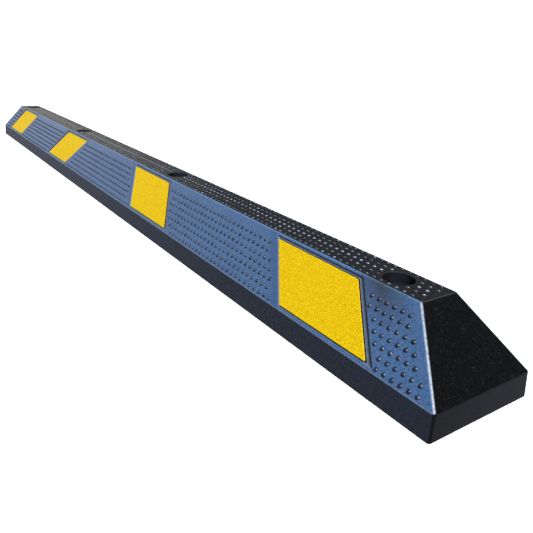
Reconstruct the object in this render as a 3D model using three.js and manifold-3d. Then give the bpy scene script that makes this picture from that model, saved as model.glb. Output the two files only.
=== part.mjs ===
// Parking wheel stop: a moulded rubber kerb with recessed reflective panels and
// four stepped anchor holes. Millimetres, +Z up. The origin is the centre of the
// underside, +X runs along the length and -Y is the front slope.
import * as THREE from 'three';
import { ConvexGeometry } from 'three/addons/geometries/ConvexGeometry.js';
import { mergeVertices } from 'three/addons/utils/BufferGeometryUtils.js';
import Module from 'manifold-3d';

// ---------- driving dimensions ----------
const LENGTH = 1830;            // overall, at the ground
const WIDTH = 150;              // overall, at the ground
const HEIGHT = 100;             // overall, over the tread studs
const SKIRT_HEIGHT = 29.4;      // nearly upright band round the foot
const SKIRT_DRAFT = 2.2;        // how far the band leans in, each side
const TOP_WIDTH = 53;           // flat top, between the sharp edges
const END_INSET = 71.2;         // from the end at the ground to the end of the top
const EDGE_RADIUS = 4;          // moulded rounding of every upper edge
const ARC_STEPS = 3;            // facets per rounded edge

const PANEL_CENTRES = [-721, -253, 253, 721];   // along the length, at mid slope
const PANEL_WIDTH = 145;        // along the length
const PANEL_LOW = 5.6;          // lower edge, measured up the slope from the skirt
const PANEL_HIGH = 76.0;        // upper edge, same measure
const PANEL_LEAN = 0.865;       // shift towards the middle per millimetre up the slope
const PANEL_THICK = 1.5;
const PANEL_SHARP = 1.0;        // radius of the two sharp corners
const PANEL_BLUNT = 4.0;        // radius of the two blunt corners
const RECESS_LOW = 3.1;
const RECESS_HIGH = 80.6;
const RECESS_NEAR_SIDE = 1.2;   // room beside the panel, on its middle-of-stop side
const RECESS_FAR_SIDE = 10.0;   // room beside the panel, on its end-of-stop side
const RECESS_DEPTH = 2.2;
const RECESS_SHARP = 1.5;
const RECESS_BLUNT = 4.5;
const GAP = 0.3;                // bond line under a panel and round a washer

const HOLE_X = [-792, -267, 267, 792];
const MOUTH_RADIUS = 17.6;      // counterbore, open at the top
const LEDGE_Z = 34;             // the washer's upper face, at the bottom of the counterbore
const SHANK_RADIUS = 8.5;       // hole for the anchor's shank, down to the ground
const WASHER_OUTER = 17.2;      // bonded into the bottom of the counterbore
const WASHER_INNER = 9.0;
const WASHER_THICK = 4.0;
const BORE_FACETS = 28;

const CORE_HEIGHT = 50;         // depth of the hollows in the underside
const CORE_HALF_WIDTH = 49;     // at the ground
const CORE_DRAFT = 6.5;         // how far each hollow's wall leans in over its depth
const CORE_WEB = 16;            // cross web between hollows
const BOSS_HALF = 33;           // solid rubber either side of a hole

// ---------- frames and helpers ----------
const wasm = await Module();
wasm.setup();
const V = (x, y, z) => new THREE.Vector3(x, y, z);

const HALF_L = LENGTH / 2, HALF_W = WIDTH / 2;
const SKIRT_Y = HALF_W - SKIRT_DRAFT, SKIRT_X = HALF_L - SKIRT_DRAFT;
const TOP_Y = TOP_WIDTH / 2, TOP_X = HALF_L - END_INSET;
const SLOPE_LENGTH = Math.hypot(SKIRT_Y - TOP_Y, HEIGHT - SKIRT_HEIGHT);

function plain(geometry) {
  const g = geometry.clone();
  for (const name of Object.keys(g.attributes)) if (name !== 'position') g.deleteAttribute(name);
  return mergeVertices(g, 1e-4);
}

function solidOf(geometry, matrix) {
  const g = plain(geometry);
  if (matrix) g.applyMatrix4(matrix);
  const merged = mergeVertices(g, 1e-4);
  return new wasm.Manifold(new wasm.Mesh({
    numProp: 3,
    vertProperties: new Float32Array(merged.attributes.position.array),
    triVerts: new Uint32Array(merged.index.array),
  }));
}

function geometryOf(solid) {
  const m = solid.getMesh();
  const g = new THREE.BufferGeometry();
  const xyz = new Float32Array(m.numVert * 3);
  for (let i = 0; i < m.numVert; i++) for (let k = 0; k < 3; k++) xyz[3 * i + k] = m.vertProperties[i * m.numProp + k];
  g.setAttribute('position', new THREE.BufferAttribute(xyz, 3));
  g.setIndex(new THREE.BufferAttribute(new Uint32Array(m.triVerts), 1));
  g.computeVertexNormals();
  return g;
}

// direction part way round from a to b
function between(a, b, t) {
  const angle = Math.acos(THREE.MathUtils.clamp(a.dot(b), -1, 1));
  const s = Math.sin(angle);
  return a.clone().multiplyScalar(Math.sin((1 - t) * angle) / s)
    .add(b.clone().multiplyScalar(Math.sin(t * angle) / s)).normalize();
}

// where two lines n.p = c meet in a plane, each moved inward by r
function insetCorner(n1, c1, n2, c2, r) {
  const d = n1[0] * n2[1] - n1[1] * n2[0];
  const a = c1 - r, b = c2 - r;
  return [(a * n2[1] - b * n1[1]) / d, (n1[0] * b - n2[0] * a) / d];
}

// ---------- the outer form: planes, inset corners, rounding ----------
// profiles as (outward, up) pairs, for the long sides and for the ends
function profile(half, skirt, top) {
  const nSkirt = new THREE.Vector2(SKIRT_HEIGHT, half - skirt).normalize();
  const nSlope = new THREE.Vector2(HEIGHT - SKIRT_HEIGHT, skirt - top).normalize();
  const cSkirt = nSkirt.x * half, cSlope = nSlope.x * skirt + nSlope.y * SKIRT_HEIGHT;
  const ns = [nSkirt.x, nSkirt.y], nl = [nSlope.x, nSlope.y];
  return {
    nSkirt, nSlope,
    low: insetCorner(ns, cSkirt, nl, cSlope, EDGE_RADIUS),
    high: insetCorner(nl, cSlope, [0, 1], HEIGHT, EDGE_RADIUS),
  };
}
const side = profile(HALF_W, SKIRT_Y, TOP_Y);
const end = profile(HALF_L, SKIRT_X, TOP_X);
// the corner balls sit at the long sides' height, on the end skirt's inset plane
end.low = [(end.nSkirt.x * (HALF_L) - EDGE_RADIUS - end.nSkirt.y * side.low[1]) / end.nSkirt.x, side.low[1]];

const formPoints = [];
for (const sx of [-1, 1]) for (const sy of [-1, 1]) {
  const up = V(0, 0, 1);
  const ySkirt = V(0, sy * side.nSkirt.x, side.nSkirt.y);
  const ySlope = V(0, sy * side.nSlope.x, side.nSlope.y);
  const xSkirt = V(sx * end.nSkirt.x, 0, end.nSkirt.y);
  const xSlope = V(sx * end.nSlope.x, 0, end.nSlope.y);
  const low = V(sx * end.low[0], sy * side.low[0], side.low[1]);
  const high = V(sx * end.high[0], sy * side.high[0], side.high[1]);
  // ball at the top corner: up, side slope, end slope
  for (let i = 0; i <= ARC_STEPS; i++) {
    const t = i / ARC_STEPS;
    const across = i === 0 ? up : between(up, ySlope, t);
    const along = i === 0 ? up : between(up, xSlope, t);
    for (let j = 0; j <= i; j++) {
      const d = i === 0 ? up : between(across, along, j / i);
      formPoints.push(high.clone().addScaledVector(d, EDGE_RADIUS));
    }
  }
  // ball at the skirt corner: side skirt, side slope, end slope, end skirt
  for (let i = 0; i <= ARC_STEPS; i++) {
    const t = i / ARC_STEPS;
    const a = between(ySkirt, ySlope, t), b = between(xSkirt, xSlope, t);
    for (let j = 0; j <= ARC_STEPS; j++) {
      formPoints.push(low.clone().addScaledVector(between(a, b, j / ARC_STEPS), EDGE_RADIUS));
    }
  }
  // the same rounding carried down the upright corner to the ground
  const down = V(0, 0, 0).crossVectors(ySkirt, xSkirt).normalize();
  for (let j = 0; j <= ARC_STEPS; j++) {
    const p = low.clone().addScaledVector(between(ySkirt, xSkirt, j / ARC_STEPS), EDGE_RADIUS);
    p.addScaledVector(down, -p.z / down.z);
    formPoints.push(p);
  }
}
let body = solidOf(new ConvexGeometry(formPoints));

// ---------- slope frames ----------
// x runs along the length, y up the slope from the skirt, z out of the slope
function slopeMatrix(sy) {
  const rise = V(0, -sy * (SKIRT_Y - TOP_Y), HEIGHT - SKIRT_HEIGHT).normalize();
  const out = V(0, sy * side.nSlope.x, side.nSlope.y);
  const x = new THREE.Vector3().crossVectors(rise, out);
  const m = new THREE.Matrix4().makeBasis(x, rise, out);
  m.setPosition(0, sy * SKIRT_Y, SKIRT_HEIGHT);
  return m;
}

// a parallelogram leaning towards the middle, with its sharp and blunt corners rounded
function leaningShape(left, right, low, high, lean, sharp, blunt) {
  const mid = (PANEL_LOW + PANEL_HIGH) / 2;
  const at = (x, v) => new THREE.Vector2(x - lean * (v - mid), v);
  const corners = [at(left, low), at(right, low), at(right, high), at(left, high)];
  const shape = new THREE.Shape();
  const steps = 3;
  corners.forEach((c, i) => {
    const before = corners[(i + 3) % 4].clone().sub(c).normalize();
    const after = corners[(i + 1) % 4].clone().sub(c).normalize();
    const half = Math.acos(before.dot(after)) / 2;
    const radius = half < Math.PI / 4 ? sharp : blunt;
    const back = radius / Math.tan(half);
    const a = c.clone().addScaledVector(before, back);
    const b = c.clone().addScaledVector(after, back);
    const centre = c.clone().addScaledVector(before.clone().add(after).normalize(), radius / Math.sin(half));
    let start = Math.atan2(a.y - centre.y, a.x - centre.x);
    let stop = Math.atan2(b.y - centre.y, b.x - centre.x);
    while (stop < start) stop += 2 * Math.PI;
    for (let k = 0; k <= steps; k++) {
      const angle = start + (stop - start) * k / steps;
      const p = new THREE.Vector2(centre.x + radius * Math.cos(angle), centre.y + radius * Math.sin(angle));
      if (i === 0 && k === 0) shape.moveTo(p.x, p.y); else shape.lineTo(p.x, p.y);
    }
  });
  shape.closePath();
  return shape;
}

function plate(shape, from, to) {
  const g = new THREE.ExtrudeGeometry(shape, { depth: to - from, bevelEnabled: false, curveSegments: 1 });
  g.translate(0, 0, from);
  return g;
}

// ---------- recesses and panels ----------
const panelColour = new THREE.Color(0.93, 0.74, 0.03);
const object = new THREE.Group();
const panelMeshes = [];

for (const [sy, place] of [[-1, 'front'], [1, 'rear']]) {
  const m = slopeMatrix(sy);
  // on the rear slope the frame's x runs backwards, so the row is mirrored there
  const flip = Math.sign(new THREE.Vector3().setFromMatrixColumn(m, 0).x);
  PANEL_CENTRES.forEach((centre, i) => {
    const cx = flip * centre;
    const toEnd = Math.sign(cx);
    const lean = toEnd * PANEL_LEAN;
    const left = cx - PANEL_WIDTH / 2, right = cx + PANEL_WIDTH / 2;
    const roomLeft = toEnd > 0 ? RECESS_NEAR_SIDE : RECESS_FAR_SIDE;
    const roomRight = toEnd > 0 ? RECESS_FAR_SIDE : RECESS_NEAR_SIDE;
    const recess = leaningShape(left - roomLeft, right + roomRight, RECESS_LOW, RECESS_HIGH, lean, RECESS_SHARP, RECESS_BLUNT);
    body = body.subtract(solidOf(plate(recess, -RECESS_DEPTH, 3), m));
    const panel = leaningShape(left, right, PANEL_LOW, PANEL_HIGH, lean, PANEL_SHARP, PANEL_BLUNT);
    const mesh = new THREE.Mesh(
      plate(panel, -RECESS_DEPTH + GAP, -RECESS_DEPTH + GAP + PANEL_THICK),
      new THREE.MeshStandardMaterial({ color: panelColour, roughness: 0.5, metalness: 0 }),
    );
    mesh.name = `reflector_${place}_${i + 1}`;
    mesh.applyMatrix4(m);
    panelMeshes.push(mesh);
  });
}

// ---------- anchor holes and their washers ----------
const washerBottom = LEDGE_Z - WASHER_THICK;
function turned(points) {
  return new THREE.LatheGeometry(points.map(([r, z]) => new THREE.Vector2(r, z)), BORE_FACETS);
}
const upright = new THREE.Matrix4().makeRotationX(Math.PI / 2);   // lathe axis from Y to Z
const holeTool = turned([
  [0, -2], [SHANK_RADIUS, -2], [SHANK_RADIUS, washerBottom - GAP],
  [MOUTH_RADIUS, washerBottom - GAP], [MOUTH_RADIUS, HEIGHT + 2], [0, HEIGHT + 2],
]);
const washerForm = turned([
  [WASHER_INNER, washerBottom], [WASHER_OUTER, washerBottom],
  [WASHER_OUTER, LEDGE_Z], [WASHER_INNER, LEDGE_Z], [WASHER_INNER, washerBottom],
]);
const washerMeshes = HOLE_X.map((x, i) => {
  body = body.subtract(solidOf(holeTool, new THREE.Matrix4().makeTranslation(x, 0, 0).multiply(upright)));
  const mesh = new THREE.Mesh(washerForm.clone(),
    new THREE.MeshStandardMaterial({ color: new THREE.Color(0.55, 0.56, 0.57), roughness: 0.4, metalness: 1 }));
  mesh.name = `anchor_washer_${i + 1}`;
  mesh.position.set(x, 0, 0);
  mesh.rotation.x = Math.PI / 2;
  return mesh;
});

// ---------- hollows in the underside ----------
function hollow(x0, x1) {
  const d = CORE_DRAFT, w = CORE_HALF_WIDTH, points = [];
  for (const [z, inset] of [[-2, -CORE_DRAFT * 2 / CORE_HEIGHT], [CORE_HEIGHT, d]]) {
    for (const x of [x0 + inset, x1 - inset]) for (const y of [-(w - inset), w - inset]) points.push(V(x, y, z));
  }
  return solidOf(new ConvexGeometry(points));
}
const bays = [
  [HOLE_X[0] + BOSS_HALF, HOLE_X[1] - BOSS_HALF],
  [HOLE_X[1] + BOSS_HALF, HOLE_X[2] - BOSS_HALF],
  [HOLE_X[2] + BOSS_HALF, HOLE_X[3] - BOSS_HALF],
];
for (const [a, b] of bays) {
  const each = (b - a - 2 * CORE_WEB) / 3;
  for (let i = 0; i < 3; i++) {
    const x0 = a + i * (each + CORE_WEB);
    body = body.subtract(hollow(x0, x0 + each));
  }
}

const bodyMesh = new THREE.Mesh(geometryOf(body),
  new THREE.MeshStandardMaterial({ color: new THREE.Color(0.035, 0.036, 0.04), roughness: 0.62, metalness: 0 }));
bodyMesh.name = 'rubber_body';

object.add(bodyMesh, ...panelMeshes, ...washerMeshes);

export default object;
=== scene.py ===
import math
import random

import bmesh
import bpy
import numpy as np
from mathutils import Matrix, Vector, noise
from mathutils.geometry import delaunay_2d_cdt


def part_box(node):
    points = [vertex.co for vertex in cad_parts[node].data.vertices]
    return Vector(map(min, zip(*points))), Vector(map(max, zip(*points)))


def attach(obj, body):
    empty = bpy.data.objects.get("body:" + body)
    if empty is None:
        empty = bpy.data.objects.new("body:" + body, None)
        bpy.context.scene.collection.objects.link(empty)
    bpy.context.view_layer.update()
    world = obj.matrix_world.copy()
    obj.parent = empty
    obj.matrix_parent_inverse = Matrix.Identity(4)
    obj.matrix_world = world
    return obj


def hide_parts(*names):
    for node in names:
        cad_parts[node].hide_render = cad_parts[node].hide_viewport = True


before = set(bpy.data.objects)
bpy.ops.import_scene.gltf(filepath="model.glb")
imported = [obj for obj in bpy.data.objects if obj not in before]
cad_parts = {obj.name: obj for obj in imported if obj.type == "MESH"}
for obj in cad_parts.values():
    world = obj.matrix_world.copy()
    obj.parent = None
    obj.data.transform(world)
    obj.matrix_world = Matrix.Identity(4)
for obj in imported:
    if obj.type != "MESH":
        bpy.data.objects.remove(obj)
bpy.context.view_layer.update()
scene = bpy.context.scene

# ------------------------------------------------------------------ sizes, mm
# the solids' own sizes, read from the frame where they can be
body_lo, body_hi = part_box("rubber_body")
HALF_L = body_hi.x * 1000.0
HALF_W = body_hi.y * 1000.0
HEIGHT = body_hi.z * 1000.0
SKIRT = 29.4
DRAFT = 2.2
TOP_HALF = 26.5
END_INSET = 71.2
EDGE_R = 3.2
FOOT_R = 1.2
TOP_STUD = 1.0                  # the studs on the top reach the solid's top face
FLAT_Z = HEIGHT - TOP_STUD
LEAN = 0.865
PANEL_W = 145.0
PANEL_LOW, PANEL_HIGH = 5.6, 76.0
MID_V = (PANEL_LOW + PANEL_HIGH) / 2
RECESS_LOW, RECESS_HIGH = 3.1, 80.6
RECESS_NEAR, RECESS_FAR = 1.2, 10.0
RECESS_D = 2.2
PANEL_X = [-721.0, -253.0, 253.0, 721.0]
PANEL_TOP = -0.4                # panel's face, below the slope
PANEL_UNDER = -1.9
HOLE_X = [-792.0, -267.0, 267.0, 792.0]

SKIRT_Y = HALF_W - DRAFT
SKIRT_X = HALF_L - DRAFT
TOP_X = HALF_L - END_INSET
SLOPE_RUN = SKIRT_Y - TOP_HALF
SLOPE_RISE = HEIGHT - SKIRT
SLOPE_LEN = math.hypot(SLOPE_RUN, SLOPE_RISE)


def unit(v):
    return v / np.linalg.norm(v)


UP, DOWN = np.array((0.0, 0.0, 1.0)), np.array((0.0, 0.0, -1.0))


def arr(*v):
    return np.array(v, float)


def slerp(a, b, t):
    w = math.acos(max(-1.0, min(1.0, float(a @ b))))
    if w < 1e-9:
        return a.copy()
    return unit((math.sin((1 - t) * w) * a + math.sin(t * w) * b) / math.sin(w))


# ------------------------------------------------------------------ mesh store
class Shell:
    """Faces as lists of points, welded by position, with a normal and a tone at each corner.
    A tone is the share of blue, or the share of blue, pale paint (wear, dust and painted highlight), painted shade with
    the dark bond line and, if wanted, dullness."""

    def __init__(self):
        self.index, self.points = {}, []
        self.faces, self.normals, self.tones, self.mats = [], [], [], []

    def v(self, p):
        k = (round(p[0] * 2e3), round(p[1] * 2e3), round(p[2] * 2e3))
        i = self.index.get(k)
        if i is None:
            i = self.index[k] = len(self.points)
            self.points.append((p[0], p[1], max(p[2], 0.0)))
        return i

    def face(self, pts, nrm, tone=0.0, mat=0):
        ids = [self.v(p) for p in pts]
        tones = tone if isinstance(tone, list) else [tone] * len(ids)
        keep = [k for k in range(len(ids)) if ids[k] != ids[k - 1]]
        if len(keep) < 3:
            return
        self.faces.append([ids[k] for k in keep])
        self.normals.extend(nrm[k] for k in keep)
        self.tones.extend(tones[k] for k in keep)
        self.mats.append(mat)

    def object(self, name, attribute=None):
        me = bpy.data.meshes.new(name)
        me.from_pydata([(x * 1e-3, y * 1e-3, z * 1e-3) for x, y, z in self.points], [], self.faces)
        me.update()
        me.polygons.foreach_set("use_smooth", [True] * len(me.polygons))
        me.polygons.foreach_set("material_index", self.mats)
        if attribute:
            a = me.attributes.new(attribute, "FLOAT_COLOR", "CORNER")
            full = [(*t, 0.0)[:4] if isinstance(t, tuple) else (t, 0.0, 0.0, 0.0) for t in self.tones]
            a.data.foreach_set("color", np.array(full, np.float32).ravel())
        me.normals_split_custom_set([tuple(n) for n in self.normals])
        me.validate(clean_customdata=False)
        ob = bpy.data.objects.new(name, me)
        scene.collection.objects.link(ob)
        return ob


def rings(shell, loops, normals, tones, out=True, mat=0):
    """Quads between consecutive closed loops of the same length. normals[i][j] is loop i, point j."""
    n = len(loops[0])
    for i in range(len(loops) - 1):
        a, b, na, nb = loops[i], loops[i + 1], normals[i], normals[i + 1]
        for j in range(n):
            k = (j + 1) % n
            pts, nr, tn = [a[j], a[k], b[k], b[j]], [na[j], na[k], nb[k], nb[j]], [tones[i][j], tones[i][k], tones[i + 1][k], tones[i + 1][j]]
            if not out:
                pts, nr, tn = pts[::-1], nr[::-1], tn[::-1]
            shell.face(pts, nr, tn, mat)


class Plane:
    """A flat frame: origin, two axes and the outward normal, which is a x b."""

    def __init__(self, o, a, b):
        self.o, self.a, self.b = o, a, b
        self.n = np.cross(a, b)

    def at(self, x, y, h=0.0):
        return self.o + self.a * x + self.b * y + self.n * h

    def flat(self, p):
        d = p - self.o
        return float(d @ self.a), float(d @ self.b)


def fill(shell, plane, outer, holes, extra=(), tone=0.0, height=None, mat=0):
    """Triangulates a flat region. outer and holes are lists of (3D point, 2D point)."""
    pts3, pts2, edges, member = [], [], [], []
    for which, loop in enumerate([outer, *holes]):
        base = len(pts2)
        for p3, p2 in loop:
            pts3.append(p3)
            pts2.append(Vector(p2))
            member.append(which)
        edges += [(base + i, base + (i + 1) % len(loop)) for i in range(len(loop))]
    for p3, p2 in extra:
        pts3.append(p3)
        pts2.append(Vector(p2))
        member.append(0)
    vs, es, fs, ov, oe, of = delaunay_2d_cdt(pts2, edges, [], 1, 1e-7)
    where, owner = [], []
    for i, v in enumerate(vs):
        if ov[i]:
            where.append(pts3[ov[i][0]])
            owner.append(member[ov[i][0]])
        else:
            where.append(plane.at(v.x, v.y))
            owner.append(0)
    made = 0
    for f in fs:
        # every hole is convex, so a face with all its corners on one hole lies inside it
        if owner[f[0]] > 0 and all(owner[i] == owner[f[0]] for i in f):
            continue
        p = [where[i] for i in f]
        if np.cross(p[1] - p[0], p[2] - p[0]) @ plane.n < 0:
            p = p[::-1]
        tn = tone
        if callable(tone):
            tn = [tone(*plane.flat(q)) for q in p]
        shell.face(p, [plane.n] * len(p), tn, mat)
        made += 1
    return made


# ------------------------------------------------------------------ outer form
def profile(half, skirt, rise, run):
    n1 = unit(arr(SKIRT, half - skirt))
    n2 = unit(arr(rise, run))
    c1 = n1[0] * half
    c2 = n2[0] * skirt + n2[1] * SKIRT
    return n1, n2, c1, c2


def inset(n1, c1, n2, c2, r):
    return np.linalg.solve(np.array([n1, n2]), arr(c1 - r, c2 - r))


sk_n, sl_n, sk_c, sl_c = profile(HALF_W, SKIRT_Y, SLOPE_RISE, SLOPE_RUN)
ek_n, el_n, ek_c, el_c = profile(HALF_L, SKIRT_X, SLOPE_RISE, SKIRT_X - TOP_X)
low_y, low_z = inset(sk_n, sk_c, sl_n, sl_c, EDGE_R)
low_x = (ek_c - EDGE_R - ek_n[1] * low_z) / ek_n[0]
high_y = (sl_c - EDGE_R - sl_n[1] * (FLAT_Z - EDGE_R)) / sl_n[0]
# the end slope passes through the low ball, so its own inclination follows from that
high_x = (el_c - EDGE_R - el_n[1] * (FLAT_Z - EDGE_R)) / el_n[0]
d = arr(low_x - high_x, low_z - (FLAT_Z - EDGE_R))
el_n = unit(arr(-d[1], d[0]))
high_z = FLAT_Z - EDGE_R

STEPS = 7
SLOPE_N, END_N = arr(0, sl_n[0], sl_n[1]), arr(el_n[0], 0, el_n[1])
BAND_N, FOOT_N = arr(0, sk_n[0], sk_n[1]), arr(ek_n[0], 0, ek_n[1])
# rounded edges painted pale, partly as wear and partly as a painted highlight: the edge's middle direction, how wide in
# radians, how strongly
WORN_AND_HIGHLIT_EDGES = [(unit(SLOPE_N + END_N), 0.48, 0.90), (unit(UP + END_N), 0.16, 0.03), (unit(SLOPE_N + BAND_N), 0.26, 0.38)]
# the edge between the top and the end is dull
DULL = unit(UP + END_N)


def tone_at(dd):
    """Blue on the long slopes, black elsewhere, turning over on the rounded edges, which are painted pale, partly as
    wear and partly as painted highlight.
    """
    side, along = abs(dd[1]), abs(dd[0])
    blue = np.clip((side - 0.06) / 0.14, 0, 1) * np.clip((dd[2] - 0.24) / 0.12, 0, 1) * np.clip(1 - (along - 0.22) / 0.26, 0, 1)
    d3 = arr(along, side, dd[2])
    pale_dust_wear_and_highlight = 0.0
    for mid, wide, much in WORN_AND_HIGHLIT_EDGES:
        w = math.acos(max(-1.0, min(1.0, float(d3 @ mid)))) / wide
        pale_dust_wear_and_highlight = max(pale_dust_wear_and_highlight, much * max(0.0, 1 - w * w))
    # the long low bands are lightly dusty
    dusty = np.clip((side - 0.9) / 0.1, 0, 1) * np.clip((0.24 - dd[2]) / 0.1, 0, 1)
    blue, pale_dust_wear_and_highlight = max(blue, 0.10 * dusty), max(pale_dust_wear_and_highlight, 0.05 * dusty)
    dull = np.clip(1.8 * (1 - math.acos(max(-1.0, min(1.0, float(d3 @ DULL)))) / 0.37), 0, 1)
    return float(blue), float(pale_dust_wear_and_highlight), 0.0, float(dull)


def corner(sx, sy):
    """A rounded corner as rows of (point, direction): the upper ball, the lower ball and the foot.
    Along each row the direction turns from the long side to the end."""
    side_skirt, side_slope = arr(0, sy, 1) * BAND_N, arr(0, sy, 1) * SLOPE_N
    end_skirt, end_slope = arr(sx, 0, 1) * FOOT_N, arr(sx, 0, 1) * END_N
    low, high = arr(sx * low_x, sy * low_y, low_z), arr(sx * high_x, sy * high_y, high_z)
    upper, lower, foot = [], [], [[] for _ in range(4)]
    for i in range(STEPS + 1):
        a, b = slerp(UP, side_slope, i / STEPS), slerp(UP, end_slope, i / STEPS)
        turn = [slerp(a, b, j / i) for j in range(i + 1)] if i else [UP]
        upper.append([(high + dd * EDGE_R, dd) for dd in turn])
        a, b = slerp(side_skirt, side_slope, i / STEPS), slerp(end_skirt, end_slope, i / STEPS)
        lower.append([(low + dd * EDGE_R, dd) for dd in (slerp(a, b, j / STEPS) for j in range(STEPS + 1))])
    edge = unit(np.cross(side_skirt, end_skirt))
    for j in range(STEPS + 1):
        dd = slerp(side_skirt, end_skirt, j / STEPS)
        c = low + dd * (EDGE_R - FOOT_R)
        c = c + edge * ((FOOT_R - c[2]) / edge[2])
        for k in range(4):
            de = slerp(dd, DOWN, k / 3)
            foot[k].append((c + de * FOOT_R, de))
    return upper, lower, foot


def plane_of(sy):
    """The slope's frame: a along global X (never flipped), b up the slope, and the outward normal."""
    rise = unit(arr(0, -sy * SLOPE_RUN, SLOPE_RISE))
    return Plane(arr(0, sy * SKIRT_Y, SKIRT), arr(1, 0, 0), rise)


front, rear = plane_of(-1), plane_of(1)
rear.n = -rear.n            # a x b points inward there; the outward side is wanted
top = Plane(arr(0, 0, FLAT_Z), arr(1, 0, 0), arr(0, 1, 0))
under = Plane(arr(0, 0, 0), arr(1, 0, 0), arr(0, -1, 0))

body = Shell()


def patch(corners, normal=None):
    """One face from (point, direction) corners, turned to face outward."""
    pts = [c[0] for c in corners]
    nrm = [normal if normal is not None else c[1] for c in corners]
    across = pts[3] - pts[1] if len(pts) == 4 else pts[2] - pts[1]
    if np.cross(pts[2] - pts[0], across) @ np.sum(nrm, axis=0) < 0:
        pts, nrm = pts[::-1], nrm[::-1]
    body.face(pts, nrm, [tone_at(n) for n in nrm])


def strip(row_a, row_b):
    for j in range(len(row_a) - 1):
        patch([row_a[j], row_a[j + 1], row_b[j + 1], row_b[j]])


CORNERS = {(sx, sy): corner(sx, sy) for sx in (-1, 1) for sy in (-1, 1)}
for upper, lower, foot in CORNERS.values():
    for i in range(STEPS):
        r, q = upper[i], upper[i + 1]
        for j in range(i + 1):
            patch([r[j], q[j], q[j + 1]])
        for j in range(i):
            patch([r[j], q[j + 1], r[j + 1]])
        strip(lower[i], lower[i + 1])
    strip(upper[STEPS], lower[STEPS])
    strip(lower[0], foot[0])
    for k in range(3):
        strip(foot[k], foot[k + 1])
# the long edges and the end edges, and the flat faces between them
for one, two, at in [((-1, sy), (1, sy), 0) for sy in (-1, 1)] + [((sx, -1), (sx, 1), -1) for sx in (-1, 1)]:
    for part in range(3):
        p_rows, q_rows = CORNERS[one][part], CORNERS[two][part]
        strip([r[at] for r in p_rows], [r[at] for r in q_rows])
    (u1, l1, f1), (u2, l2, f2) = CORNERS[one], CORNERS[two]
    patch([l1[0][at], l2[0][at], f2[0][at], f1[0][at]], l1[0][at][1])
    if at == -1:
        patch([u1[STEPS][at], u2[STEPS][at], l2[STEPS][at], l1[STEPS][at]], u1[STEPS][at][1])


def outline(kind):
    """The boundary of an open flat face, in order."""
    if kind == "top":
        return [CORNERS[c][0][0][0][0] for c in ((-1, -1), (1, -1), (1, 1), (-1, 1))]
    if kind == "under":
        loop = []
        for c, back in (((-1, -1), True), ((1, -1), False), ((1, 1), True), ((-1, 1), False)):
            row = [p for p, _ in CORNERS[c][2][3]]
            loop += row[::-1] if back else row
        return loop
    sy = -1 if kind == "front" else 1
    (u1, l1, _), (u2, l2, _) = CORNERS[-1, sy], CORNERS[1, sy]
    return [l1[STEPS][0][0], l2[STEPS][0][0], u2[STEPS][0][0], u1[STEPS][0][0]]


# ------------------------------------------------------------------ studs
def cap(shell, plane, x, y, r, h, seg, tone, turn=0.0, painted_glint=(0.0, 0.0, 0.0, 0.0), foot=(0.95, 0.50, 0.10, 0.0), side=None, skirt=0.0):
    """A domed stud: returns its foot circle for the flat face around it. Its paleness at each level, from the foot
    to the tip, is a painted highlight, all round or only towards the angle side; foot is painted shade at each level,
    skirt how far the foot flares out."""
    levels = 3
    big = (r * r + h * h) / (2 * h)
    top_angle = math.asin(min(1.0, r / big)) if h <= r else math.pi - math.asin(r / big)
    loops, nrm, tn = [], [], []
    cs = [(math.cos(turn + 2 * math.pi * j / seg), math.sin(turn + 2 * math.pi * j / seg)) for j in range(seg)]
    for i in range(levels):
        t = top_angle * (1 - i / levels)
        rr, hh = big * math.sin(t), big * math.cos(t) - (big - h)
        if i == 0:
            rr, hh = r + skirt, 0.0
            t = t if not skirt else math.radians(25)
        loops.append([plane.at(x + rr * c, y + rr * s, hh) for c, s in cs])
        nrm.append([unit(plane.a * c * math.sin(t) + plane.b * s * math.sin(t) + plane.n * math.cos(t)) for c, s in cs])
        # the painted highlight goes all round, or mostly towards the side angle
        if side is None:
            share = [1.0] * seg
        else:
            share = [max(0.0, math.cos(turn + 2 * math.pi * j / seg - side)) ** 3 for j in range(seg)]
        tn.append([(tone, painted_glint[i] * w, foot[i]) for w in share])
    flip = np.cross(plane.a, plane.b) @ plane.n < 0
    rings(shell, loops, nrm, tn, out=not flip)
    tip = plane.at(x, y, h)
    for j in range(seg):
        k = (j + 1) % seg
        pts, nr, t3 = [loops[-1][j], loops[-1][k], tip], [nrm[-1][j], nrm[-1][k], plane.n], [tn[-1][j], tn[-1][k], (tone, painted_glint[3], foot[3])]
        if flip:
            pts, nr, t3 = pts[::-1], nr[::-1], t3[::-1]
        shell.face(pts, nr, t3)
    return [(loops[0][j], (x + (r + skirt) * cs[j][0], y + (r + skirt) * cs[j][1])) for j in range(seg)]


ROW_V = [5.2 + 10.35 * k for k in range(7)]
END_START = [839.0, 836.0, 822.9, 815.0, 807.4, 793.9, 790.4]
MID_START = [659.0, 645.3, 642.1, 633.6, 624.6, 611.1, 607.9]


def slope_studs():
    found = []
    for k, v in enumerate(ROW_V):
        # beyond the outer panel, to the hip
        for i in range(6):
            found += [(s * (END_START[k] + 10.35 * i), v) for s in (-1, 1)]
        # between the outer and the inner panel
        stop = 253 + PANEL_W / 2 - LEAN * (v - MID_V) + 16.0
        x = MID_START[k]
        while x > stop:
            found += [(s * x, v) for s in (-1, 1)]
            x -= 11.05
        # between the two inner panels
        stop = 253 - PANEL_W / 2 - LEAN * (v - MID_V) - 17.0
        x = 0.0 if k % 2 else 5.525
        while x < stop:
            found += [(x, v)] if x == 0 else [(x, v), (-x, v)]
            x += 11.05
    return found


def top_studs():
    found = []
    for row, y in enumerate((-22.0, -11.0, 0.0, 11.0, 22.0)):
        half = 5.25 if row % 2 else 0.0
        for i in range(-80, 81):
            x = i * 10.5 + half
            if abs(x) > 838.5:
                continue
            if any(math.hypot(x - hx, y) < 22.0 for hx in HOLE_X):
                continue
            found.append((x, y))
    return found


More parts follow.
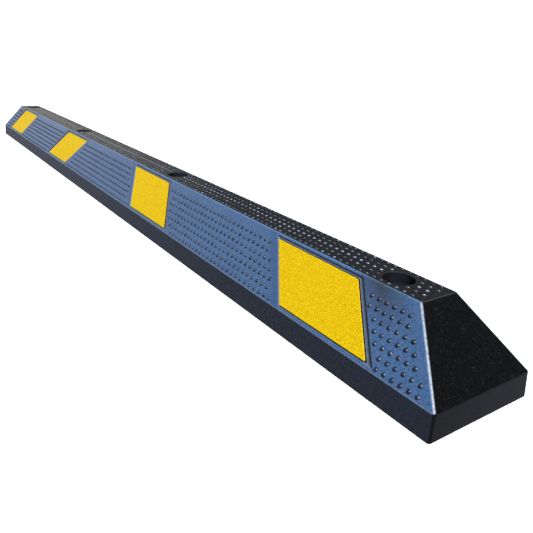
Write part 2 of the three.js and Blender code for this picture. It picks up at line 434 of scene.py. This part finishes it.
# ------------------------------------------------------------------ leaning outline
def leaning(left, right, low, high, lean, sharp, blunt, steps, grow=0.0):
    """A parallelogram with rounded corners as 2D points and outward 2D normals. grow moves the whole outline outward, keeping the corner centres."""
    at = lambda x, v: arr(x - lean * (v - MID_V), v)
    cs = [at(left, low), at(right, low), at(right, high), at(left, high)]
    pts, nrm = [], []
    for i, c in enumerate(cs):
        before, after = unit(cs[i - 1] - c), unit(cs[(i + 1) % 4] - c)
        half = math.acos(float(before @ after)) / 2
        radius = sharp if half < math.pi / 4 else blunt
        back = radius / math.tan(half)
        centre = c + unit(before + after) * (radius / math.sin(half))
        a, b = c + before * back - centre, c + after * back - centre
        s, e = math.atan2(a[1], a[0]), math.atan2(b[1], b[0])
        while e < s:
            e += 2 * math.pi
        for k in range(steps + 1):
            t = s + (e - s) * k / steps
            dd = arr(math.cos(t), math.sin(t))
            pts.append(centre + dd * (radius + grow))
            nrm.append(dd)
    return pts, nrm


def recess(shell, plane, cx):
    """Cuts a panel's recess: returns its rim for the slope around it."""
    to_end = 1 if cx > 0 else -1
    near, far = RECESS_NEAR, RECESS_FAR
    left = cx - PANEL_W / 2 - (near if to_end > 0 else far)
    right = cx + PANEL_W / 2 + (far if to_end > 0 else near)
    # inward shift, depth, lean of the surface away from the slope's normal, paleness (partly wear, partly painted
    # highlight)
    shape = [(0.0, 0.0, 0, 0.0), (0.18, 0.04, 25, 0.20), (0.34, 0.16, 50, 0.40), (0.44, 0.36, 72, 0.40), (0.47, 0.5, 80, 0.30),
             (0.60, 1.6, 80, 0.20), (0.66, 1.85, 60, 0.2), (0.78, 2.06, 35, 0.25), (0.95, 2.17, 12, 0.3), (1.10, RECESS_D, 0, 0.34)]
    loops, nrm, tn = [], [], []
    flip = np.cross(plane.a, plane.b) @ plane.n < 0
    for k, (inward, depth, tilt, pale_dust_wear_and_highlight) in enumerate(shape):
        pts, nn = leaning(left, right, RECESS_LOW, RECESS_HIGH, to_end * LEAN, 1.5, 4.5, 5, grow=-inward)
        loops.append([plane.at(p[0], p[1], -depth) for p in pts])
        s, c = math.sin(math.radians(tilt)), math.cos(math.radians(tilt))
        nrm.append([unit(-(plane.a * q[0] + plane.b * q[1]) * s + plane.n * c) for q in nn])
        # the rim gets a painted highlight on the side towards the middle, less elsewhere; the recess is painted a
        # little darker with depth, painted shade
        share = [max(0.15, min(1.0, -to_end * float(q[0]) * 1.5)) if depth < 1.8 else 1.0 for q in nn]
        tn.append([(1.0 - 0.15 * min(1.0, depth / RECESS_D), pale_dust_wear_and_highlight * w, 0.0) for w in share])
    rings(shell, loops, nrm, tn, out=not flip)
    # the floor, with the dark bond line that shows round the panel; by the outer wall the floor gets painted shadow,
    # elsewhere it is painted pale, partly as dust and partly as painted light
    edge_l = cx - PANEL_W / 2 - (0.05 if to_end > 0 else 1.3)
    edge_r = cx + PANEL_W / 2 + (1.3 if to_end > 0 else 0.05)
    pts, _ = leaning(edge_l, edge_r, PANEL_LOW - 0.9, PANEL_HIGH + 1.4, to_end * LEAN, 1.0, 4.0, 5)
    pin, _ = leaning(edge_l, edge_r, PANEL_LOW - 0.9, PANEL_HIGH + 1.4, to_end * LEAN, 1.0, 4.0, 5, grow=-0.25)
    bond = [[plane.at(p[0], p[1], -RECESS_D) for p in q] for q in (pts, pin)]
    up = [plane.n] * len(pts)
    between = [a + (b - a) * 0.5 for a, b in zip(loops[-1], bond[0])]
    ring_floor = [loops[-1], between, bond[0], bond[1]]
    _, nn = leaning(left, right, RECESS_LOW, RECESS_HIGH, to_end * LEAN, 1.5, 4.5, 5)
    by_wall = [(0.5, 0.14, 0.60) if to_end * q[0] > 0.3 else (0.85, 0.30, 0.0) for q in nn]
    rings(shell, ring_floor, [up, up, up, up], [by_wall, by_wall, [(0.85, 0.36, 0.0)] * len(pts), [(0.0, 0.0, 1.0)] * len(pts)], out=not flip)
    pts = list(bond[1])
    if flip:
        pts = pts[::-1]
    shell.face(pts, [plane.n] * len(pts), (0.0, 0.0, 1.0))
    return [(loops[0][j], plane.flat(loops[0][j])) for j in range(len(loops[0]))]


STUD_R, STUD_H = 2.35, 1.75
for plane, kind in ((front, "front"), (rear, "rear")):
    rim = [(p, plane.flat(p)) for p in outline(kind)]
    holes = [recess(body, plane, cx) for cx in PANEL_X]
    rng = random.Random(11 if kind == "front" else 12)
    for x, v in slope_studs():
        # each slope stud is painted dark all over as painted shade, with a painted highlight towards its upper right
        # side
        much = rng.uniform(0.15, 0.50)
        holes.append(cap(body, plane, x, v, STUD_R, STUD_H * rng.uniform(0.93, 1.05), 12, 1.0, turn=rng.uniform(0, 0.5),
                         painted_glint=(0.0, 0.75 * much, 0.55 * much, 0.0), foot=(1.0, 1.0, 1.0, 1.0), side=0.45, skirt=0.4))
    fill(body, plane, rim, holes, tone=1.0)

# ------------------------------------------------------------------ anchor holes
def circle(x, r, z, seg=48):
    return [arr(x + r * math.cos(2 * math.pi * j / seg), r * math.sin(2 * math.pi * j / seg), z) for j in range(seg)]


def bore(shell, x):
    """The stepped hole, from the top face to the underside. Returns its top and bottom rims."""
    seg = 48
    ray = [arr(math.cos(2 * math.pi * j / seg), math.sin(2 * math.pi * j / seg), 0) for j in range(seg)]
    # radius, height, outward share, upward share; a repeated place makes a sharp edge
    line = [(19.0, FLAT_Z, 0, 1), (18.45, FLAT_Z - 0.13, -0.38, 0.92), (17.95, FLAT_Z - 0.45, -0.7, 0.7), (17.68, FLAT_Z - 0.9, -0.92, 0.38), (17.6, FLAT_Z - 1.4, -1, 0.02)]
    parts = [line, [(17.6, FLAT_Z - 1.4, -1, 0.02), (17.6, 60.0, -1, 0), (17.6, 29.7, -1, 0)],
             [(17.6, 29.7, 0, 1), (8.5, 29.7, 0, 1)], [(8.5, 29.7, -1, 0), (8.5, 1.0, -1, 0)],
             [(8.5, 1.0, -1, 0), (8.8, 0.3, -0.7, -0.7), (9.5, 0.0, 0, -1)]]
    for part in parts:
        loops = [circle(x, r, z) for r, z, _, _ in part]
        nrm = [[unit(q * o + UP * u) for q in ray] for _, _, o, u in part]
        # the +y wall is painted a little blue and pale, a painted lit side; the rest stays black
        tones = [(0.09 * max(0.0, q[1]), 0.012 * max(0.0, 0.3 * q[0] + q[1]), 0.0, 1.0) for q in ray]
        rings(shell, loops, nrm, [tones] * len(part), out=True)
    return circle(x, 19.0, FLAT_Z), circle(x, 9.5, 0.0)


rim = [(p, top.flat(p)) for p in outline("top")]
holes, below = [], []
for x in HOLE_X:
    a, b = bore(body, x)
    holes.append([(p, top.flat(p)) for p in a])
    below.append([(p, under.flat(p)) for p in b])
rng = random.Random(5)
for x, y in top_studs():
    # the middle row gets the brightest painted glints; each stud's foot gets painted shade
    high = TOP_STUD * rng.uniform(0.90, 1.0)
    painted_glint = rng.uniform(0.6, 1.0) if y == 0 else rng.uniform(0.12, 0.40) + (0.40 if rng.random() < 0.14 else 0.0)
    holes.append(cap(body, top, x, y, 2.3, high, 10, 0.0, turn=rng.uniform(0, 0.6), painted_glint=(0.0, 0.45 * painted_glint, painted_glint, painted_glint)))
fill(body, top, rim, holes, tone=(0.0, 0.013, 0.0))


# ------------------------------------------------------------------ underside
def hollow(shell, x0, x1):
    """A cored hollow with rounded corners and a rounded roof. Returns its rim."""
    steps, corner = 5, 9.0
    w = 49.0
    shape = [(-0.9, 0.0, 90), (-0.35, 0.2, 60), (-0.02, 0.75, 25), (0.1, 1.5, 7), (5.55, 43.5, 7), (6.1, 46.0, 20), (7.3, 48.4, 45), (9.2, 49.6, 70), (11.0, 50.0, 90)]
    loops, nrm = [], []
    for inward, z, tilt in shape:
        pts, nn = [], []
        for cx, cy, s in ((x1, w, 0), (x0, w, 90), (x0, -w, 180), (x1, -w, 270)):
            cen = arr(cx - math.copysign(corner + 2.5, cx - (x0 + x1) / 2), cy - math.copysign(corner + 2.5, cy), z)
            for k in range(steps + 1):
                t = math.radians(s + 90 * k / steps)
                dd = arr(math.cos(t), math.sin(t), 0)
                pts.append(cen + dd * (corner + 2.5 - inward))
                nn.append(dd)
        loops.append(pts)
        s, c = math.sin(math.radians(tilt)), math.cos(math.radians(tilt))
        nrm.append([unit(-q * c + DOWN * s) for q in nn])
    rings(shell, loops, nrm, [[0.0] * len(loops[0])] * len(loops), out=False)
    roof = loops[-1]
    shell.face(roof[::-1], [DOWN] * len(roof), 0.0)
    return [(p, under.flat(p)) for p in loops[0]]


bays = [(HOLE_X[i] + 33, HOLE_X[i + 1] - 33) for i in range(3)]
for a, b in bays:
    each = (b - a - 32.0) / 3
    for i in range(3):
        x0 = a + i * (each + 16.0)
        below.append(hollow(body, x0, x0 + each))
fill(body, under, [(p, under.flat(p)) for p in outline("under")], below)

rubber = body.object("rubber_moulding", attribute="tone")
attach(rubber, "root")
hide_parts("rubber_body")


# ------------------------------------------------------------------ reflective panels
def panel_piece(name, plane, cx, seed):
    """A sheet with a rounded edge and a grainy face."""
    to_end = 1 if cx > 0 else -1
    left, right = cx - PANEL_W / 2, cx + PANEL_W / 2
    flip = np.cross(plane.a, plane.b) @ plane.n < 0
    me, verts, faces = bpy.data.meshes.new(name), [], []

    def loop(grow, h):
        pts, _ = leaning(left, right, PANEL_LOW, PANEL_HIGH, to_end * LEAN, 1.0, 4.0, 5, grow=grow)
        # extra points along the straight edges, so that the face's grain meets the rim
        out = []
        for i, p in enumerate(pts):
            q = pts[(i + 1) % len(pts)]
            out.append((p[0], p[1], h))
            gap = np.linalg.norm(q - p)
            n = int(gap // 2.2)
            out += [(p[0] + (q[0] - p[0]) * k / n, p[1] + (q[1] - p[1]) * k / n, h) for k in range(1, n)] if n > 1 else []
        return out

    # every ring must have as many points, so all are scaled copies of the outermost
    base = loop(0.0, 0.0)
    cen = arr(cx, MID_V)

    def shrink(d):
        out = []
        n = len(base)
        for i in range(n):
            p, a, b = arr(*base[i][:2]), arr(*base[i - 1][:2]), arr(*base[(i + 1) % n][:2])
            t = unit(b - a)
            out.append(p - arr(t[1], -t[0]) * d)
        return out

    levels = [(0.15, PANEL_UNDER), (0.0, PANEL_UNDER + 0.15), (0.0, PANEL_TOP - 0.45), (0.06, PANEL_TOP - 0.22), (0.2, PANEL_TOP - 0.07), (0.45, PANEL_TOP)]
    for dd, h in levels:
        for p in shrink(dd):
            verts.append(plane.at(p[0], p[1], h))
    n = len(base)
    for i in range(len(levels) - 1):
        for j in range(n):
            k = (j + 1) % n
            q = [i * n + j, i * n + k, (i + 1) * n + k, (i + 1) * n + j]
            faces.append(q[::-1] if flip else q)
    bottom = list(range(n))
    faces.append(bottom if flip else bottom[::-1])
    # the face: scattered points, raised and lowered by fine noise
    rng = random.Random(seed)
    rim2 = shrink(0.45)
    inner = []
    step = 1.75
    y = PANEL_LOW + 1.4
    row = 0
    while y < PANEL_HIGH - 1.2:
        shift = -to_end * LEAN * (y - MID_V)
        x = left + shift + 1.6 + (row % 2) * step / 2
        while x < right + shift - 1.4:
            inner.append((x + rng.uniform(-0.3, 0.3), y + rng.uniform(-0.25, 0.25)))
            x += step
        y += step * 0.87
        row += 1
    flat = [Vector((float(p[0]), float(p[1]))) for p in rim2] + [Vector(p) for p in inner]
    edges = [(i, (i + 1) % n) for i in range(n)]
    vs, es, fs, ov, oe, of = delaunay_2d_cdt(flat, edges, [], 1, 1e-7)
    first = (len(levels) - 1) * n
    ids = []
    for i, v in enumerate(vs):
        src = min(ov[i]) if ov[i] else None
        if src is not None and src < n:
            ids.append(first + src)
        else:
            q = Vector((v.x * 0.33, v.y * 0.33, seed * 3.7))
            h = PANEL_TOP - 0.10 + 0.10 * noise.noise(q) + 0.07 * noise.noise(q * 2.3)
            ids.append(len(verts))
            verts.append(plane.at(v.x, v.y, min(h, PANEL_TOP + 0.05)))
    for f in fs:
        q = [ids[i] for i in f]
        p = [verts[i] for i in q]
        if np.cross(p[1] - p[0], p[2] - p[0]) @ plane.n < 0:
            q = q[::-1]
        faces.append(q)
    me.from_pydata([tuple(p * 1e-3) for p in verts], [], faces)
    me.update()
    me.polygons.foreach_set("use_smooth", [True] * len(me.polygons))
    me.set_sharp_from_angle(angle=math.radians(50))
    cut = me.attributes.new("cut_edge", "FLOAT", "FACE")
    cut.data.foreach_set("value", [1.0 if i < 2 * n or i == (len(levels) - 1) * n else 0.0 for i in range(len(me.polygons))])
    me.validate(clean_customdata=False)
    ob = bpy.data.objects.new(name, me)
    scene.collection.objects.link(ob)
    return ob


sheets = []
for plane, place in ((front, "front"), (rear, "rear")):
    # the CAD numbers each row along its slope's own direction
    for i in range(4):
        node = f"reflector_{place}_{i + 1}"
        lo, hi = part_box(node)
        mid = (lo.x + hi.x) / 2 * 1000
        cx = min(PANEL_X, key=lambda x: abs(x - mid))
        ob = panel_piece(f"reflector_sheet_{place}_{i + 1}", plane, cx, 20 + i + (10 if place == "rear" else 0))
        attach(ob, "root")
        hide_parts(node)
        sheets.append(ob)


# ------------------------------------------------------------------ washers
def washer_piece(name, x):
    seg = 64
    w = Shell()
    ray = [arr(math.cos(2 * math.pi * j / seg), math.sin(2 * math.pi * j / seg), 0) for j in range(seg)]
    line = [(9.6, 34.0, 0, 1), (16.6, 34.0, 0, 1), (17.05, 33.85, 0.7, 0.7), (17.2, 33.4, 1, 0), (17.2, 30.6, 1, 0), (17.05, 30.15, 0.7, -0.7), (16.6, 30.0, 0, -1),
            (9.6, 30.0, 0, -1), (9.15, 30.15, -0.7, -0.7), (9.0, 30.6, -1, 0), (9.0, 33.4, -1, 0), (9.15, 33.85, -0.7, 0.7), (9.6, 34.0, 0, 1)]
    loops = [[arr(x + r * q[0], r * q[1], z) for q in ray] for r, z, _, _ in line]
    nrm = [[unit(q * o + UP * u) for q in ray] for _, _, o, u in line]
    rings(w, loops, nrm, [[0.0] * seg] * len(line), out=False)
    return w.object(name)


washers = []
for i, x in enumerate(HOLE_X):
    ob = washer_piece(f"washer_ring_{i + 1}", x)
    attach(ob, "root")
    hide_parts(f"anchor_washer_{i + 1}")
    washers.append(ob)


# ------------------------------------------------------------------ materials
class Nodes:
    def __init__(self, name):
        self.m = bpy.data.materials.new(name)
        self.m.use_nodes = True
        self.t = self.m.node_tree
        self.bsdf = self.t.nodes["Principled BSDF"]

    def new(self, kind, **values):
        n = self.t.nodes.new(kind)
        for k, v in values.items():
            if hasattr(n, k):
                setattr(n, k, v)
            else:
                n.inputs[k].default_value = v
        return n

    def link(self, a, b):
        self.t.links.new(a, b)

    def ramp(self, source, stops):
        r = self.new("ShaderNodeValToRGB")
        e = r.color_ramp.elements
        while len(e) < len(stops):
            e.new(0.5)
        for k, (pos, col) in enumerate(stops):
            e[k].position = pos
            e[k].color = (*col, 1) if len(col) == 3 else col
        self.link(source, r.inputs["Fac"])
        return r.outputs["Color"]

    def mix(self, fac, a, b, mode="MIX"):
        n = self.new("ShaderNodeMix", data_type="RGBA", blend_type=mode)
        for s, v in ((n.inputs[0], fac), (n.inputs[6], a), (n.inputs[7], b)):
            if isinstance(v, (int, float)):
                s.default_value = v
            elif isinstance(v, tuple):
                s.default_value = (*v, 1) if len(v) == 3 else v
            else:
                self.link(v, s)
        return n.outputs[2]

    def math(self, op, a, b=0.0, clamp=False):
        n = self.new("ShaderNodeMath", operation=op)
        n.use_clamp = clamp
        for s, v in ((n.inputs[0], a), (n.inputs[1], b)):
            if isinstance(v, (int, float)):
                s.default_value = v
            else:
                self.link(v, s)
        return n.outputs[0]

    def noise(self, scale, detail=3.0, rough=0.5, vector=None, distortion=0.0):
        n = self.new("ShaderNodeTexNoise")
        n.inputs["Scale"].default_value = scale
        n.inputs["Detail"].default_value = detail
        n.inputs["Roughness"].default_value = rough
        n.inputs["Distortion"].default_value = distortion
        self.link(vector or self.coords(), n.inputs["Vector"])
        return n.outputs["Fac"]

    def voronoi(self, scale, feature="F1", rand=1.0, vector=None):
        n = self.new("ShaderNodeTexVoronoi", feature=feature)
        n.inputs["Scale"].default_value = scale
        n.inputs["Randomness"].default_value = rand
        self.link(vector or self.coords(), n.inputs["Vector"])
        return n

    def coords(self):
        if not hasattr(self, "_c"):
            self._c = self.new("ShaderNodeTexCoord").outputs["Object"]
        return self._c


def rubber_material():
    k = Nodes("moulded_rubber")
    tone = k.new("ShaderNodeAttribute", attribute_name="tone")
    parts = k.new("ShaderNodeSeparateColor")
    k.link(tone.outputs["Color"], parts.inputs[0])
    blue_share, dust_wear_and_highlight, painted_shade_and_bond, dull = parts.outputs[0], parts.outputs[1], parts.outputs[2], tone.outputs["Alpha"]
    fine = k.noise(1500, 2.0, 0.55)
    mid = k.noise(300, 3.0, 0.6)
    patch = k.noise(75, 3.0, 0.6)
    broad = k.noise(14, 4.0, 0.6)
    # black of the skirt, ends and top
    black = k.ramp(mid, [(0.32, (0.0014, 0.0014, 0.0017)), (0.54, (0.0021, 0.0021, 0.0025)), (0.72, (0.0042, 0.0042, 0.0047))])
    # the slopes' steel blue, with patches that turn towards teal and violet
    blue = k.ramp(broad, [(0.25, (0.041, 0.099, 0.236)), (0.5, (0.050, 0.117, 0.276)), (0.75, (0.064, 0.139, 0.306))])
    blue = k.mix(k.ramp(patch, [(0.38, (0.0, 0.0, 0.0)), (0.60, (0.70, 0.70, 0.70))]), blue, (0.042, 0.132, 0.262))
    blue = k.mix(k.ramp(mid, [(0.44, (0, 0, 0)), (0.64, (0.75, 0.75, 0.75))]), blue, (0.092, 0.146, 0.280))
    blue = k.mix(k.ramp(k.noise(420, 2.0, 0.6), [(0.48, (0, 0, 0)), (0.66, (0.60, 0.60, 0.60))]), blue, (0.026, 0.058, 0.160))
    blue = k.mix(k.ramp(fine, [(0.50, (0, 0, 0)), (0.75, (0.35, 0.35, 0.35))]), blue, (0.022, 0.048, 0.135))
    # where the slope is plain beside each panel it is a little deeper, and greyer high up by the ends
    place = k.new("ShaderNodeSeparateXYZ")
    k.link(k.coords(), place.inputs[0])
    far = k.math("ABSOLUTE", place.outputs["X"])
    up_slope = k.math("MULTIPLY", k.math("SUBTRACT", place.outputs["Z"], SKIRT * 1e-3), SLOPE_LEN / SLOPE_RISE)
    sheared = k.math("ADD", far, k.math("MULTIPLY", k.math("SUBTRACT", up_slope, MID_V * 1e-3), LEAN))
    for cx in PANEL_X[2:]:
        off = k.math("ABSOLUTE", k.math("SUBTRACT", sheared, (cx - PANEL_W / 2 - 9.0) * 1e-3))
        near = k.math("SUBTRACT", 1.0, k.math("DIVIDE", off, 0.011), clamp=True)
        blue = k.mix(k.math("MULTIPLY", near, 0.55), blue, (0.024, 0.066, 0.190))
    high = k.math("DIVIDE", k.math("SUBTRACT", up_slope, 0.042), 0.036, clamp=True)
    by_end = k.math("SUBTRACT", 1.0, k.math("DIVIDE", k.math("ABSOLUTE", k.math("SUBTRACT", sheared, 0.828)), 0.044), clamp=True)
    blue = k.mix(k.math("MULTIPLY", high, by_end), blue, (0.034, 0.049, 0.076))
    colour = k.mix(blue_share, black, blue)
    # painted shade over the slope studs, round the top studs' feet and on the recess floors by the outer walls, and the
    # dark bond line round each panel
    colour = k.mix(k.math("MULTIPLY", painted_shade_and_bond, k.ramp(mid, [(0.3, (1, 1, 1)), (0.75, (0.6, 0.6, 0.6))])), colour, (0.0035, 0.0050, 0.0095))
    # pale crumbs of recycled rubber, here and there
    v = k.voronoi(560, rand=1.0)
    speck = k.ramp(v.outputs["Distance"], [(0.0, (1, 1, 1)), (0.26, (0, 0, 0))])
    pick = k.ramp(k.noise(160, 2.0, 0.5), [(0.50, (0, 0, 0)), (0.64, (0.8, 0.8, 0.8))])
    speck = k.mix(1.0, speck, pick, "MULTIPLY")
    colour = k.mix(speck, colour, (0.075, 0.082, 0.095))
    # pale paint, a little broken up: wear and dust, and painted highlights and glints on edges, studs and recess rims
    pale_dust_wear_and_highlight = k.math("MULTIPLY", dust_wear_and_highlight, k.ramp(mid, [(0.34, (0.55, 0.55, 0.55)), (0.55, (1, 1, 1))]))
    colour = k.mix(pale_dust_wear_and_highlight, colour, (0.36, 0.42, 0.52))
    k.link(colour, k.bsdf.inputs["Base Color"])
    rough = k.mix(blue_share, k.ramp(mid, [(0.3, (0.22, 0.22, 0.22)), (0.75, (0.34, 0.34, 0.34))]), k.ramp(mid, [(0.3, (0.30, 0.30, 0.30)), (0.75, (0.42, 0.42, 0.42))]))
    rough = k.mix(painted_shade_and_bond, rough, (0.28, 0.28, 0.28))
    rough = k.mix(dull, rough, (0.72, 0.72, 0.72))
    k.link(rough, k.bsdf.inputs["Roughness"])
    k.bsdf.inputs["Specular IOR Level"].default_value = 0.20
    b = k.new("ShaderNodeBump")
    b.inputs["Strength"].default_value = 0.22
    b.inputs["Distance"].default_value = 0.00035
    k.link(k.math("ADD", fine, mid), b.inputs["Height"])
    k.link(b.outputs["Normal"], k.bsdf.inputs["Normal"])
    return k.m


def sheet_material():
    k = Nodes("reflective_yellow")
    warp = k.noise(620, 2.0, 0.5, distortion=1.2)
    grain = k.noise(950, 3.0, 0.60, distortion=0.9)
    cells = k.voronoi(430, rand=1.0)
    broad = k.noise(22, 3.0, 0.5)
    base = k.ramp(grain, [(0.36, (0.38, 0.200, 0.001)), (0.47, (0.64, 0.415, 0.002)), (0.58, (0.88, 0.655, 0.007))])
    base = k.mix(k.ramp(warp, [(0.40, (0.35, 0.35, 0.35)), (0.54, (0, 0, 0))]), base, (0.55, 0.30, 0.001))
    base = k.mix(k.ramp(broad, [(0.3, (0, 0, 0)), (0.75, (0.25, 0.25, 0.25))]), base, (0.72, 0.51, 0.004))
    edge = k.new("ShaderNodeAttribute", attribute_name="cut_edge").outputs["Fac"]
    base = k.mix(edge, base, k.ramp(grain, [(0.35, (0.012, 0.007, 0.004)), (0.7, (0.035, 0.020, 0.010))]))
    k.link(base, k.bsdf.inputs["Base Color"])
    k.link(k.ramp(grain, [(0.3, (0.42, 0.42, 0.42)), (0.7, (0.60, 0.60, 0.60))]), k.bsdf.inputs["Roughness"])
    k.bsdf.inputs["Specular IOR Level"].default_value = 0.05
    b = k.new("ShaderNodeBump")
    b.inputs["Strength"].default_value = 0.45
    b.inputs["Distance"].default_value = 0.0005
    k.link(k.math("ADD", grain, warp), b.inputs["Height"])
    k.link(b.outputs["Normal"], k.bsdf.inputs["Normal"])
    return k.m


def steel_material():
    k = Nodes("zinc_plated_steel")
    spangle = k.voronoi(260, rand=1.0)
    scratch = k.noise(900, 3.0, 0.6)
    col = k.ramp(spangle.outputs["Color"], [(0.2, (0.40, 0.41, 0.42)), (0.8, (0.62, 0.63, 0.64))])
    col = k.mix(k.ramp(k.noise(60, 4, 0.6), [(0.5, (0, 0, 0)), (0.8, (0.7, 0.7, 0.7))]), col, (0.22, 0.20, 0.18))
    k.link(col, k.bsdf.inputs["Base Color"])
    k.link(k.ramp(scratch, [(0.3, (0.28, 0.28, 0.28)), (0.7, (0.48, 0.48, 0.48))]), k.bsdf.inputs["Roughness"])
    k.bsdf.inputs["Metallic"].default_value = 1.0
    return k.m


RUBBER, SHEET, STEEL = rubber_material(), sheet_material(), steel_material()
rubber.data.materials.append(RUBBER)
for ob in sheets:
    ob.data.materials.append(SHEET)
for ob in washers:
    ob.data.materials.append(STEEL)
for node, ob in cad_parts.items():
    ob.data.materials.clear()
    ob.data.materials.append(RUBBER if node == "rubber_body" else SHEET if node.startswith("reflector") else STEEL)

# ------------------------------------------------------------------ camera
PLACE = (1141.87, -432.01, 316.95)
RIGHT = (0.5481056, 0.834872, 0.0506852)
UPWARD = (-0.3379635, 0.1656318, 0.9264701)
BACK = (0.7650888, -0.5249332, 0.37294)
FOCAL = 543.95                  # in widths of 1/533 of the frame
CENTRE = (250.0, 266.5)
cam_data = bpy.data.cameras.new("view")
cam = bpy.data.objects.new("view", cam_data)
scene.collection.objects.link(cam)
cam_data.sensor_width = 36.0
cam_data.lens = FOCAL / 533.0 * 36.0
cam_data.shift_x = (266.5 - CENTRE[0]) / 533.0
cam_data.shift_y = (CENTRE[1] - 266.5) / 533.0
cam_data.clip_start, cam_data.clip_end = 0.05, 100.0
m = Matrix((RIGHT, UPWARD, BACK)).transposed().to_4x4()
m.translation = Vector(PLACE) * 1e-3
cam.matrix_world = m
scene.camera = cam

# ------------------------------------------------------------------ floor and light
def big_quad(name, size, z):
    me = bpy.data.meshes.new(name)
    s = size / 2
    me.from_pydata([(-s, -s, z), (s, -s, z), (s, s, z), (-s, s, z)], [], [(0, 1, 2, 3)])
    ob = bpy.data.objects.new(name, me)
    scene.collection.objects.link(ob)
    return ob


floor = big_quad("floor", 60.0, -0.0002)
fm = Nodes("pale_floor")
fm.link(fm.ramp(fm.noise(3.0, 2.0), [(0.3, (0.91, 0.91, 0.91)), (0.7, (0.93, 0.93, 0.93))]), fm.bsdf.inputs["Base Color"])
fm.bsdf.inputs["Roughness"].default_value = 0.9
fm.bsdf.inputs["Specular IOR Level"].default_value = 0.1
floor.data.materials.append(fm.m)
floor.visible_diffuse = False       # the bright floor doesn't fill the shadows on the part
floor.visible_glossy = False

# a white backdrop; the part itself sees a dim sky, a pale ground and a bright patch beyond its far end
world = bpy.data.worlds.new("studio")
scene.world = world
world.use_nodes = True
wt = world.node_tree
soft = wt.nodes["Background"]
white = wt.nodes.new("ShaderNodeBackground")
white.inputs["Color"].default_value = (1, 1, 1, 1)
white.inputs["Strength"].default_value = 1.15
path = wt.nodes.new("ShaderNodeLightPath")
join = wt.nodes.new("ShaderNodeMixShader")
where = wt.nodes.new("ShaderNodeTexCoord")
dot = wt.nodes.new("ShaderNodeVectorMath")
dot.operation = "DOT_PRODUCT"
wt.links.new(where.outputs["Generated"], dot.inputs[0])
dot.inputs[1].default_value = tuple(unit(arr(-0.95, -0.26, 0.17)))
fade = wt.nodes.new("ShaderNodeMapRange")
fade.inputs["From Min"].default_value = 0.72
fade.inputs["From Max"].default_value = 0.97
wt.links.new(dot.outputs["Value"], fade.inputs["Value"])
height = wt.nodes.new("ShaderNodeSeparateXYZ")
wt.links.new(where.outputs["Generated"], height.inputs[0])
rise = wt.nodes.new("ShaderNodeMapRange")
rise.inputs["From Min"].default_value = -0.10
rise.inputs["From Max"].default_value = 0.10
wt.links.new(height.outputs["Z"], rise.inputs["Value"])
sky = wt.nodes.new("ShaderNodeValToRGB")
sky.color_ramp.elements[0].position, sky.color_ramp.elements[0].color = 0.0, (0.33, 0.35, 0.42, 1)
sky.color_ramp.elements[1].position, sky.color_ramp.elements[1].color = 1.0, (0.10, 0.11, 0.13, 1)
wt.links.new(rise.outputs["Result"], sky.inputs["Fac"])
glow = wt.nodes.new("ShaderNodeMix")
glow.data_type = "RGBA"
above = wt.nodes.new("ShaderNodeMapRange")
above.inputs["From Min"].default_value = -0.02
above.inputs["From Max"].default_value = 0.14
wt.links.new(height.outputs["Z"], above.inputs["Value"])
both = wt.nodes.new("ShaderNodeMath")
both.operation = "MULTIPLY"
wt.links.new(fade.outputs["Result"], both.inputs[0])
wt.links.new(above.outputs["Result"], both.inputs[1])
wt.links.new(both.outputs[0], glow.inputs[0])
wt.links.new(sky.outputs["Color"], glow.inputs[6])
glow.inputs[7].default_value = (1.22, 1.15, 1.00, 1)
wt.links.new(glow.outputs[2], soft.inputs["Color"])
soft.inputs["Strength"].default_value = 1.0
wt.links.new(path.outputs["Is Camera Ray"], join.inputs[0])
wt.links.new(soft.outputs[0], join.inputs[1])
wt.links.new(white.outputs[0], join.inputs[2])
wt.links.new(join.outputs[0], wt.nodes["World Output"].inputs["Surface"])


def sun(name, towards, strength, spread, colour=(1, 1, 1)):
    """A distant lamp. towards points from the part to the lamp."""
    data = bpy.data.lights.new(name, "SUN")
    data.energy = strength
    data.angle = math.radians(spread)
    data.color = colour
    ob = bpy.data.objects.new(name, data)
    scene.collection.objects.link(ob)
    ob.rotation_euler = Vector(towards).to_track_quat("Z", "Y").to_euler()
    return ob


sun("key", (0.60, -0.15, 0.785), 5.7, 11, (1.0, 0.985, 0.96))
sun("back", (-0.10, 0.60, 0.79), 2.0, 9, (0.94, 0.97, 1.0))

scene.view_settings.view_transform = "Standard"
scene.view_settings.look = "None"

bpy.context.view_layer.update()
